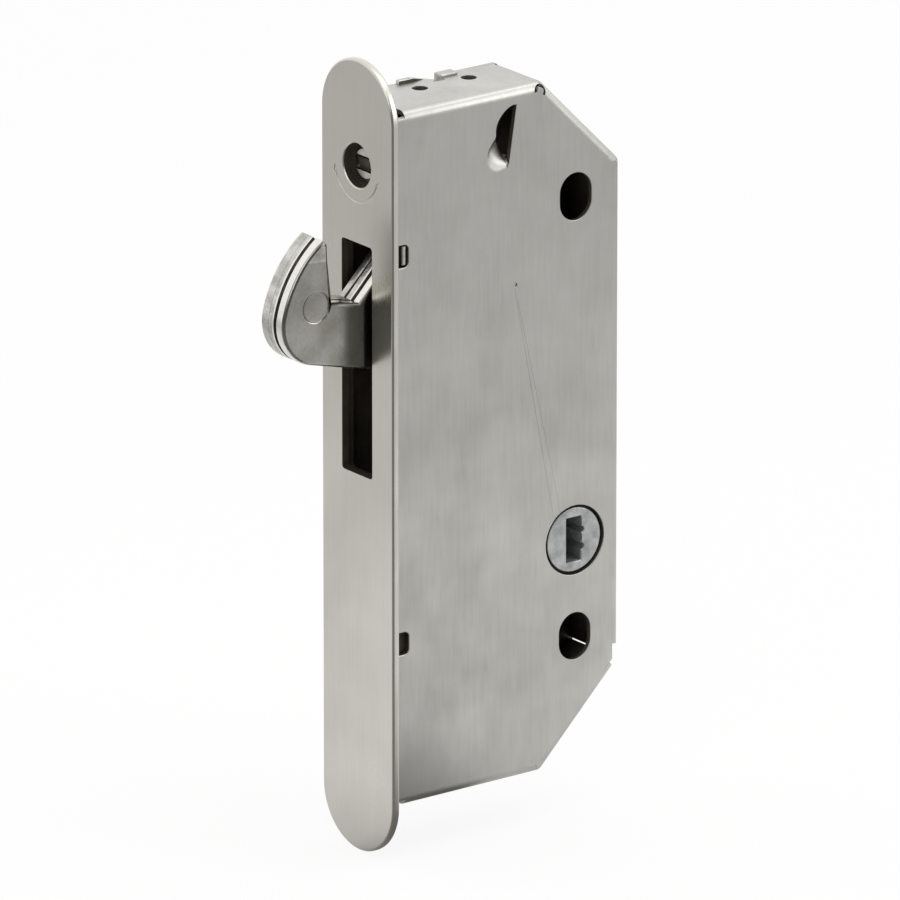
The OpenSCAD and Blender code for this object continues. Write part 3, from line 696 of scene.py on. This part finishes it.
    def draw_scoop(self, pan: BMesh, rim: list[BMEdge]) -> None:
        """Give the scoop the wide soft draw that the press leaves on its closed side.

        Args:
            pan: Copy of the pan.
            rim: Curved edges between the near side and the scoop's bowl.
        """
        ends = [vert for vert in {vert for edge in rim for vert in edge.verts}
                if sum(edge in rim for edge in vert.link_edges) == 1]
        middle = Vector((self.scoop_mm[0], -self.half_mm, self.scoop_mm[1])) * MM
        bowl, lift = self.bowl_mm
        for vert in pan.verts:
            depth = vert.co.y / MM + self.half_mm
            reach = math.hypot(self.from_scoop(vert.co / MM), depth + lift)
            if reach < bowl and depth > self.clear_mm and abs(depth - self.sheet_mm) > self.clear_mm:
                vert.co.y += (self.bowl_drop_mm - self.bowl_fade * depth) * MM
        for vert in ends:
            vert.co = middle + (vert.co - middle).normalized() * self.cut_half_mm * MM
        self.kept = [vert.co.copy() for vert in ends]
        bmesh.ops.split_edges(pan, edges=rim)
        free = [edge for edge in pan.edges
                if edge.is_boundary and self.from_scoop(mid(edge)) < self.scoop_rim_mm[1]]
        outer = [edge for edge in free if edge.link_faces[0].normal.y < -0.99]
        inner = [edge for edge in free if edge not in outer]
        self.ring(outer, 0.0)
        self.ring(inner, 1.0)
        for step in range(1, self.draw_steps + 1):
            grown = bmesh.ops.extrude_edge_only(pan, edges=outer)["geom"]
            outer = [part for part in grown if isinstance(part, BMEdge) and part.is_boundary
                     and part not in inner and all(vert in grown for vert in part.verts)]
            self.ring(outer, step / self.draw_steps)
        near = [vert for vert in pan.verts if self.from_scoop(vert.co / MM) < self.dent_reach_mm]
        bmesh.ops.remove_doubles(pan, verts=near, dist=WELD_MM * MM)
        bmesh.ops.recalc_face_normals(pan, faces=pan.faces)

    def ring(self, edges: list[BMEdge], share: float) -> None:
        """Lay a chain of edges on one ring of the scoop's draw.

        Args:
            edges: Chain around the closed side of the scoop.
            share: 0 for the outermost ring, 1 for the lip of the bowl.
        """
        start, run = self.ramp_mm
        ramp_power, plunge_power = self.ramp_bend
        for vert in {vert for edge in edges for vert in edge.verts}:
            if any((vert.co - spot).length < 0.01 * MM for spot in self.kept):
                continue
            x, z = vert.co.x / MM - self.scoop_mm[0], vert.co.z / MM - self.scoop_mm[1]
            lip, wide = self.radii(math.degrees(math.atan2(z, -x)))
            radius = lip + (wide - lip) * (1 - share)
            scale = radius / math.hypot(x, z)
            climb = min(max((z * scale - start) / run, 0.0), 1.0)
            brim = min(wide, self.back_hole_mm)
            plunge = max((brim - radius) / (brim - lip), 0.0) ** plunge_power
            shelf = self.ramp_deep_mm * climb * share ** ramp_power if wide > self.back_hole_mm else 0.0
            sunk = shelf + (self.draw_deep_mm - shelf) * plunge
            vert.co = Vector((self.scoop_mm[0] + x * scale, sunk - self.half_mm,
                              self.scoop_mm[1] + z * scale)) * MM

    def radii(self, turn: float) -> tuple[float, float]:
        """Look up how far the scoop's draw reaches in one direction.

        Args:
            turn: Degrees round the scoop's middle, 0 towards the plate and 90 upwards.

        Returns:
            Radii of the lip and of the outermost ring in millimetres.
        """
        for (low, *here), (high, *there) in zip(self.draw_mm, self.draw_mm[1:]):
            if low <= turn < high:
                way = (turn - low) / (high - low)
                lip, wide = (a + (b - a) * way for a, b in zip(here, there))
                return lip, wide
        raise ValueError(f"the draw has no radii at {turn} degrees")

    def open_gaps(self, pan: BMesh) -> None:
        """Set the pan back above its upper window and widen the gap at its lower rear corner.

        Args:
            pan: Copy of the pan.
        """
        corner = Vector((self.depth_mm, self.low_mm + self.leg_mm))
        most_x, depth, least_z = self.brow_mm
        reach, least_y, rise = self.gap_mm
        for vert in pan.verts:
            x, y, z = vert.co / MM
            if x < most_x and y < -self.half_mm + depth and z > least_z:
                vert.co.x += self.set_back_mm * MM
            away = Vector((x, z)) - corner
            if away.length < reach and y > least_y and away.y > rise:
                vert.co.z += self.widen_mm * MM

    def corner_folds(self) -> None:
        """Close three corners of the near side with short lengths of the bend."""
        shape = bmesh.new()
        for (x, z), start, radius, turn in self.folds_mm:
            self.fold(shape, Vector((x, 0.0, z)), start, radius, turn)
        piece = new_object("case_corner_folds", shape)
        piece.data.shade_smooth()
        piece.data.set_sharp_from_angle(angle=math.radians(40))
        piece.data.materials.append(CASE_SHEET.material())
        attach(piece, "case")
        LOG.info("made %s", piece.name)

    def fold(self, shape: BMesh, centre: Vector, start: float, radius: float, angle: float) -> None:
        """Spin the section of the bend round one corner and run it on along both folded sides.

        Args:
            shape: Bmesh that gets the fold.
            centre: Place of the corner inside the bends, in millimetres.
            start: Direction of the first folded side's normal, in degrees from X towards Z.
            radius: Outer radius of the fold in millimetres.
            angle: Turn of the corner in degrees, 0 for a straight fold.
        """
        skin, bend = self.sheet_mm, self.bend_out_mm
        near = -self.half_mm + bend
        low = near + self.fold_drop_mm
        turns = [math.radians(15 * k) for k in range(7)]
        section = [(radius * math.sin(a), near - bend * math.cos(a)) for a in turns]
        section += [(radius, low), (radius - skin, low)]
        section += [((radius - skin) * math.sin(a), near - (bend - skin) * math.cos(a))
                    for a in reversed(turns)]
        out = Vector((math.cos(math.radians(start)), 0, math.sin(math.radians(start))))
        along = Vector((out.z, 0, -out.x)) * self.fold_run_mm
        verts = [shape.verts.new((centre + along + out * r + Vector((0, y, 0))) * MM) for r, y in section]
        last = self.run_on(shape, [shape.faces.new(verts)], -along)
        if angle:
            turned = bmesh.ops.spin(shape, geom=last, cent=centre * MM, axis=(0, -1, 0), dvec=(0, 0, 0),
                                    angle=math.radians(angle), steps=5)["geom_last"]
            last = [part for part in turned if isinstance(part, BMFace)]
            self.run_on(shape, last, Matrix.Rotation(math.radians(-angle), 3, "Y") @ -along)
        bmesh.ops.remove_doubles(shape, verts=shape.verts, dist=WELD_MM * MM)
        bmesh.ops.recalc_face_normals(shape, faces=shape.faces)

    @staticmethod
    def run_on(shape: BMesh, faces: list[BMFace], shift_mm: Vector) -> list[BMFace]:
        """Extrude the end of a fold.

        Args:
            shape: Bmesh with the fold.
            faces: Faces at its end.
            shift_mm: Way that they move.

        Returns:
            The faces at the new end.
        """
        grown = bmesh.ops.extrude_face_region(shape, geom=faces)["geom"]
        verts = [part for part in grown if isinstance(part, BMVert)]
        bmesh.ops.translate(shape, verts=verts, vec=shift_mm * MM)
        return [part for part in grown if isinstance(part, BMFace)]

    def from_scoop(self, at: Vector) -> float:
        """Measure how far a point in millimetres lies from the scoop's middle, seen from the side."""
        return math.hypot(at.x - self.scoop_mm[0], at.z - self.scoop_mm[1])

    def pan_finish(self, face: BMFace) -> int:
        """Choose the finish of a face of the pan.

        Args:
            face: Face of the pan.

        Returns:
            0 for the outer skin and the scoop's bowl, 1 for the painted shade on inner faces, on the bowl's
            inward walls and on the walls of holes.
        """
        at = face.calc_center_median() / MM
        if (self.from_scoop(at) < self.dent_reach_mm and at.y > -self.half_mm + 0.01
                and self.side_depth(at) > self.bend_mm):
            # Draw faces that turn into the case get the painted shade, so the bowl's deep walls read black
            outward = Vector((self.scoop_mm[0] - at.x, -self.half_mm - at.y, self.scoop_mm[1] - at.z))
            return int(face.normal.dot(outward) < 0)
        wall = (abs(face.normal.y) < 0.3 and at.y < -self.half_mm + self.mouth_wall_mm
                and self.side_depth(at) > self.bend_mm)
        return int(wall or min(at.y + self.half_mm, self.side_depth(at)) > self.skin_mm)

    def cover_finish(self, face: BMFace) -> int:
        """Choose the finish of a face of the cover.

        Args:
            face: Face of the cover.

        Returns:
            1 for its inner face, in painted shade, 0 for the rest.
        """
        at = face.calc_center_median() / MM
        inside = self.side_depth(at) > 0.0 and at.y < self.half_mm - self.skin_mm
        return int(inside and face.normal.y < -0.9)

    def side_depth(self, at: Vector) -> float:
        """Measure how deep a point lies inside the case's outline, seen from the side.

        Args:
            at: Point in millimetres.

        Returns:
            Least distance to the five folded sides in millimetres.
        """
        up = self.top_mm + self.depth_mm - self.leg_mm
        down = self.depth_mm - self.leg_mm - self.low_mm
        return min(self.top_mm - at.z, at.z - self.low_mm, self.depth_mm - at.x,
                   (up - at.x - at.z) / math.sqrt(2), (down - at.x + at.z) / math.sqrt(2))


@dataclass
class Faceplate:
    """Satin plate with a rolled front rim, brighter sheared sides and slot walls in painted shade."""

    front_mm: float = -1.9
    bevel_mm: float = 0.35
    roll_mm: float = 0.28
    back_roll_mm: float = 0.55
    opening_mm: tuple[float, float] = (5.6, 80.0)
    front_skin_mm: float = 0.3

    def build(self) -> None:
        """Make the plate."""
        plate = copy_node("faceplate")
        rim = widest_loop([edge for edge in plate.edges if self.on_rim(edge, self.front_mm)])
        side = widest_loop([edge for edge in plate.edges if self.on_rim(edge, self.front_mm + self.bevel_mm)])
        round_edges(plate, rim + side, self.roll_mm * 0.5, 3)
        round_edges(plate, widest_loop(cap_edges(plate, 0, 0.0)), self.back_roll_mm, 3)
        paint_faces(plate, self.finish_of)
        stand_in("faceplate", plate, "case", (PLATE_SATIN, PLATE_RIM, OILED_SHEET_PAINTED_SHADE))

    def finish_of(self, face: BMFace) -> int:
        """Choose the finish of a face of the plate.

        Args:
            face: Face of the plate.

        Returns:
            Finish number of the front and back, of the sides or of the openings' walls, which are painted
            shade.
        """
        if abs(face.normal.x) > 0.4:
            return PlateSkin.FRONT
        at = face.calc_center_median() / MM
        half_width, half_height = self.opening_mm
        opening = (abs(at.y) < half_width and abs(at.z) < half_height
                   and at.x > self.front_mm + self.front_skin_mm)
        return PlateSkin.OPENING_SHADE if opening else PlateSkin.SIDE

    @staticmethod
    def on_rim(edge: BMEdge, level_mm: float) -> bool:
        """Tell whether an edge of the bevelled rim lies at a level."""
        return edge.calc_face_angle(0) > math.radians(20) and all(
            abs(vert.co.x - level_mm * MM) < LEVEL_MM * MM for vert in edge.verts)


@dataclass
class Hook:
    """Three riveted laminations with shaved, sheared and rolled rims, and their rivets.

    Attributes:
        half_mm: Half the thickness of the hook.
        sheet_mm: Thickness of a lamination.
        rolls_mm: Rounding of each lamination's near and far rim.
        neck_roll_mm: Rounding of the far lamination's near rim, behind neck_mm.
        neck_mm: X where the neck starts.
        hole_reach_mm: Radius that holds the front rivet's hole.
        front_rivet_mm: X and Z of the front rivet.
        front_rise_mm: Rise of the front rivet's head, below 0 where it is sunk.
        rivet_radius_mm: Radius of a rivet.
        dome_mm: Height of a rivet's dome.
        dome_steps: Steps of the dome.
        dimple_mm: Depth and rounding of the dimple round the front rivet.
        dimple_reach_mm: Radius that holds the dimple.
        dimple_share: Part of the dimple's depth that is kept.
        beak_cut_mm: X and Z of a point on the line below the coined facet.
        beak_slant: Slant of that line.
        beak_back_mm: X where the facet ends at the back.
        beak_skin_mm: Depth to which the facet's lean reaches.
        beak_lean: Lean of the facet.
    """

    half_mm: float = 3.9
    sheet_mm: float = 2.6
    rolls_mm: tuple[tuple[float, float], ...] = ((0.85, 0.3), (1.3, 0.1), (0.1, 0.4))
    neck_roll_mm: float = 1.15
    neck_mm: float = -4.5
    hole_reach_mm: float = 3.5
    front_rivet_mm: tuple[float, float] = (-15.6, 37.5)
    front_rise_mm: float = -0.22
    rivet_radius_mm: float = 3.3
    dome_mm: float = 0.08
    dome_steps: int = 6
    dimple_mm: float = 0.6
    dimple_reach_mm: float = 5.5
    dimple_share: float = 0.35
    beak_cut_mm: tuple[float, float] = (-18.7, 47.75)
    beak_slant: float = 0.08
    beak_back_mm: float = -10.0
    beak_skin_mm: float = 1.0
    beak_lean: float = 0.09

    def build(self) -> None:
        """Make the laminations and the rivets."""
        names = ("hook_plate_near", "hook_plate_middle", "hook_plate_far")
        for number, node in enumerate(names):
            shape = copy_node(node)
            low = -self.half_mm + number * self.sheet_mm
            for level, roll in zip((low, low + self.sheet_mm), self.rolls_mm[number]):
                loop = widest_loop(cap_edges(shape, 1, level))
                neck = [edge for edge in loop if number == 2 and level == low and mid(edge).x > self.neck_mm]
                round_edges(shape, neck or loop, self.neck_roll_mm if neck else roll, 5)
            if number == 0:
                self.dimple(shape)
            paint_faces(shape, lambda face, number=number: self.finish_of(face, number))
            if number == 0:
                self.coin_beak(shape)
            rim = HOOK_RIM_AND_HIGHLIGHT if number == 0 else HOOK_SHEARED
            stand_in(node, shape, "hook",
                     (HOOK_FACE, rim, HOOK_GROOVE_PAINTED_SHADE, HOOK_RIM_AND_HIGHLIGHT, HOOK_COINED_HIGHLIGHT))
        self.rivets()

    def dimple(self, shape: BMesh) -> None:
        """Press the face in a little round the front rivet.

        Args:
            shape: Near lamination.
        """
        x, z = self.front_rivet_mm
        rim = [edge for edge in cap_edges(shape, 1, -self.half_mm)
               if math.hypot(mid(edge).x - x, mid(edge).z - z) < self.hole_reach_mm]
        round_edges(shape, rim, self.dimple_mm, 5)
        for vert in shape.verts:
            depth = vert.co.y / MM + self.half_mm
            away = math.hypot(vert.co.x / MM - x, vert.co.z / MM - z)
            if depth < self.dimple_mm + 0.01 and away < self.dimple_reach_mm:
                vert.co.y = (depth * self.dimple_share - self.half_mm) * MM

    def coin_beak(self, shape: BMesh) -> None:
        """Lean the near face of the beak out a little above a slanted line, and paint that facet lighter as a
        highlight.

        Args:
            shape: Near lamination.
        """
        x, z = self.beak_cut_mm
        spot, way = Vector((x, 0.0, z)) * MM, Vector((self.beak_slant, 0.0, 1.0)).normalized()
        bmesh.ops.bisect_plane(shape, geom=shape.verts[:] + shape.edges[:] + shape.faces[:],
                               plane_co=spot, plane_no=way)
        for vert in shape.verts:
            rise = (vert.co - spot).dot(way)
            near = vert.co.y < (self.beak_skin_mm - self.half_mm) * MM
            if rise > 0 and vert.co.x < self.beak_back_mm * MM and near:
                vert.co.y -= self.beak_lean * rise
        for face in shape.faces:
            if (face.calc_center_median() - spot).dot(way) > 0 and face.normal.y < -0.9:
                face.material_index = HookSkin.COINED_HIGHLIGHT

    def finish_of(self, face: BMFace, number: int) -> int:
        """Choose the finish of a lamination's face.

        Args:
            face: Face of the lamination.
            number: 0 for the near lamination, 2 for the far one.

        Returns:
            Finish number: the near lamination has a painted highlight under its roll, the others painted
                shade in their grooves.
        """
        lean = face.normal.y
        if abs(lean) > 0.985:
            return HookSkin.FACE
        near = lean < -0.3
        if number == 0:
            if not near:
                return HookSkin.RIM
            # The downward faces of its roll take the bright rim finish as a painted highlight
            return HookSkin.LIP_HIGHLIGHT if face.normal.z < -0.4 else HookSkin.FACE
        if number == 1:
            # Painted shade where the roll faces the near lamination, a painted highlight on the strip just
            # beyond it
            return HookSkin.GROOVE_SHADE if near else HookSkin.LIP_HIGHLIGHT if lean < -0.1 else HookSkin.RIM
        # Along the neck the far lamination's roll takes the painted shade of the groove
        on_neck = face.calc_center_median().x / MM > self.neck_mm
        return HookSkin.GROOVE_SHADE if near and on_neck else HookSkin.RIM

    def rivets(self) -> None:
        """Make both rivets as turned pins with low domed heads."""
        low, high = (Vector(corner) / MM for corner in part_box("hook_rivets"))
        shape = bmesh.new()
        self.rivet(shape, self.front_rivet_mm, self.front_rise_mm)
        self.rivet(shape, (high.x - self.rivet_radius_mm, low.z + self.rivet_radius_mm), 0.0)
        stand_in("hook_rivets", shape, "hook", (HOOK_FACE,))

    def rivet(self, shape: BMesh, centre: tuple[float, float], rise_mm: float) -> None:
        """Spin one rivet with low domed heads from its half section.

        Args:
            shape: Bmesh that gets the rivet.
            centre: X and Z of the rivet's axis in millimetres.
            rise_mm: Height of the near head's rim above the face.
        """
        turns = [k / self.dome_steps * math.pi / 2 for k in range(self.dome_steps + 1)]
        section = [(self.rivet_radius_mm * math.sin(a), self.dome_mm * math.cos(a)) for a in turns]
        points = [(r, -self.half_mm - rise_mm - rise) for r, rise in section]
        points += [(r, self.half_mm + rise) for r, rise in reversed(section)]
        verts = [shape.verts.new(Vector((centre[0] + r, y, centre[1])) * MM) for r, y in points]
        edges = [shape.edges.new(pair) for pair in zip(verts, verts[1:])]
        axis = Vector((centre[0], 0.0, centre[1])) * MM
        bmesh.ops.spin(shape, geom=verts + edges, cent=axis, axis=(0, 1, 0), dvec=(0, 0, 0),
                       angle=math.tau, steps=48, use_merge=True)
        bmesh.ops.remove_doubles(shape, verts=shape.verts, dist=WELD_MM * MM)
        bmesh.ops.recalc_face_normals(shape, faces=shape.faces)


@dataclass
class Hub:
    """Die-cast hub with a rounded face and a dark drive slot."""

    face_mm: float = -8.6
    radius_mm: float = 7.1
    grown_mm: float = 0.18
    front_part_mm: float = -7.0
    edge_mm: float = 0.25
    slot_reach_mm: float = 5.9
    slot_skin_mm: float = 0.3

    def build(self) -> None:
        """Make the hub."""
        shape = copy_node("drive_hub")
        low, high = (Vector(corner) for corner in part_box("drive_hub"))
        middle = (low + high) / 2
        for vert in shape.verts:
            away = Vector((vert.co.x - middle.x, 0.0, vert.co.z - middle.z))
            if vert.co.y < self.front_part_mm * MM and abs(away.length / MM - self.radius_mm) < 0.05:
                vert.co += away.normalized() * self.grown_mm * MM
        round_edges(shape, widest_loop(cap_edges(shape, 1, self.face_mm)), self.edge_mm, 4)
        round_edges(shape, cap_edges(shape, 1, self.face_mm), self.edge_mm, 3)
        refill(shape, 1, self.face_mm)
        paint_faces(shape, lambda face: int(self.in_slot(face, middle)))
        stand_in("drive_hub", shape, "hub", (HUB_ZINC, HUB_BORE))

    def in_slot(self, face: BMFace, middle: Vector) -> bool:
        """Tell whether a face lies in the drive slot.

        Args:
            face: Face of the hub.
            middle: Middle of the hub.

        Returns:
            True below the mouth of the slot.
        """
        at = face.calc_center_median()
        away = math.hypot(at.x - middle.x, at.z - middle.z) / MM
        below = at.y / MM > self.face_mm + self.slot_skin_mm
        return abs(face.normal.y) < 0.3 and away < self.slot_reach_mm and below


@dataclass
class Screw:
    """Adjusting screw with a rounded head and a wide driver slot in painted shade."""

    face_mm: float = 0.2
    edge_mm: float = 0.3
    axis_z_mm: float = 65.7
    slot_from_mm: float = 0.5
    slot_half_mm: float = 1.4
    slot_deep_mm: float = 1.35
    dark_mm: tuple[float, float] = (0.55, 1.6)

    def build(self) -> None:
        """Make the screw."""
        shape = copy_node("adjusting_screw")
        for vert in shape.verts:
            y, z = vert.co.y / MM, vert.co.z / MM - self.axis_z_mm
            if vert.co.x / MM < self.slot_deep_mm and self.slot_from_mm < abs(z) < self.slot_half_mm:
                reach = math.hypot(y, z)
                z = math.copysign(self.slot_half_mm, z)
                vert.co.y = math.copysign(math.sqrt(max(reach ** 2 - z ** 2, 0.0)), y) * MM
                vert.co.z = (self.axis_z_mm + z) * MM
        bmesh.ops.remove_doubles(shape, verts=shape.verts, dist=0.01 * MM)
        round_edges(shape, cap_edges(shape, 0, self.face_mm), self.edge_mm, 3)
        paint_faces(shape, self.finish_of)
        stand_in("adjusting_screw", shape, "screw", (SCREW_STEEL, OILED_SHEET_PAINTED_SHADE))

    def finish_of(self, face: BMFace) -> int:
        """Choose the finish of a face of the screw.

        Args:
            face: Face of the screw.

        Returns:
            1 for the painted shade on the walls and floor of the driver slot, 0 for the rest.
        """
        start, end = self.dark_mm
        return int(start < face.calc_center_median().x / MM < end and abs(face.normal.y) < 0.2)


@dataclass
class Bracket:
    """Bracket behind the plate, oiled and in painted shade but for the lug in the upper window, which keeps
    pale metal.
    """

    lug_y_mm: float = -8.2
    edge_mm: float = 0.25

    def build(self) -> None:
        """Make the bracket."""
        shape = copy_node("front_bracket")
        front = min(vert.co.y for vert in shape.verts) / MM
        round_edges(shape, cap_edges(shape, 1, front), self.edge_mm, 3)
        paint_faces(shape, lambda face: int(face.calc_center_median().y / MM > self.lug_y_mm))
        stand_in("front_bracket", shape, "case", (SCREW_STEEL, OILED_SHEET_PAINTED_SHADE))


@dataclass
class CadFinishes:
    """Finishes of the CAD nodes that keep their own shape, by node name."""

    finishes: dict[MetalFinish, tuple[str, ...]] = field(default_factory=lambda: {
        # Parts inside the case take the inner sheet's oil and painted shade
        OILED_SHEET_PAINTED_SHADE: ("screw_retainer", "screw_tail_bracket", "cheek_near", "cheek_far",
                      "hub_lever", "link_bar"),
        TURNED_STEEL: ("guide_posts", "case_spacers", "spring_rivet", "nut_rivets", "cheek_spacer",
                       "hook_pivot_pin", "hook_drive_pin", "lever_pin"),
        SPRING_STEEL: ("detent_spring", "tail_clip"),
        BUSH_BRONZE_PAINTED_SHADE: ("hub_bush",),
        NUT_BRASS: ("adjuster_nut",),
    })

    def build(self) -> None:
        """Give each CAD node its material."""
        for finish, nodes in self.finishes.items():
            for node in nodes:
                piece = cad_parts[node]
                piece.data.materials.clear()
                piece.data.materials.append(finish.material())
                LOG.info("dressed %s in %s", node, finish.label)


def main() -> None:
    """Build the studio, then make and dress the lock."""
    logging.basicConfig(level=logging.INFO, format="%(message)s")
    bpy.context.scene.view_settings.view_transform = "Standard"
    for part in (Studio(), Shell(), Faceplate(), Hook(), Hub(), Screw(), Bracket(), CadFinishes()):
        part.build()
    LOG.info("boxes written")


if __name__ == "__main__":
    main()
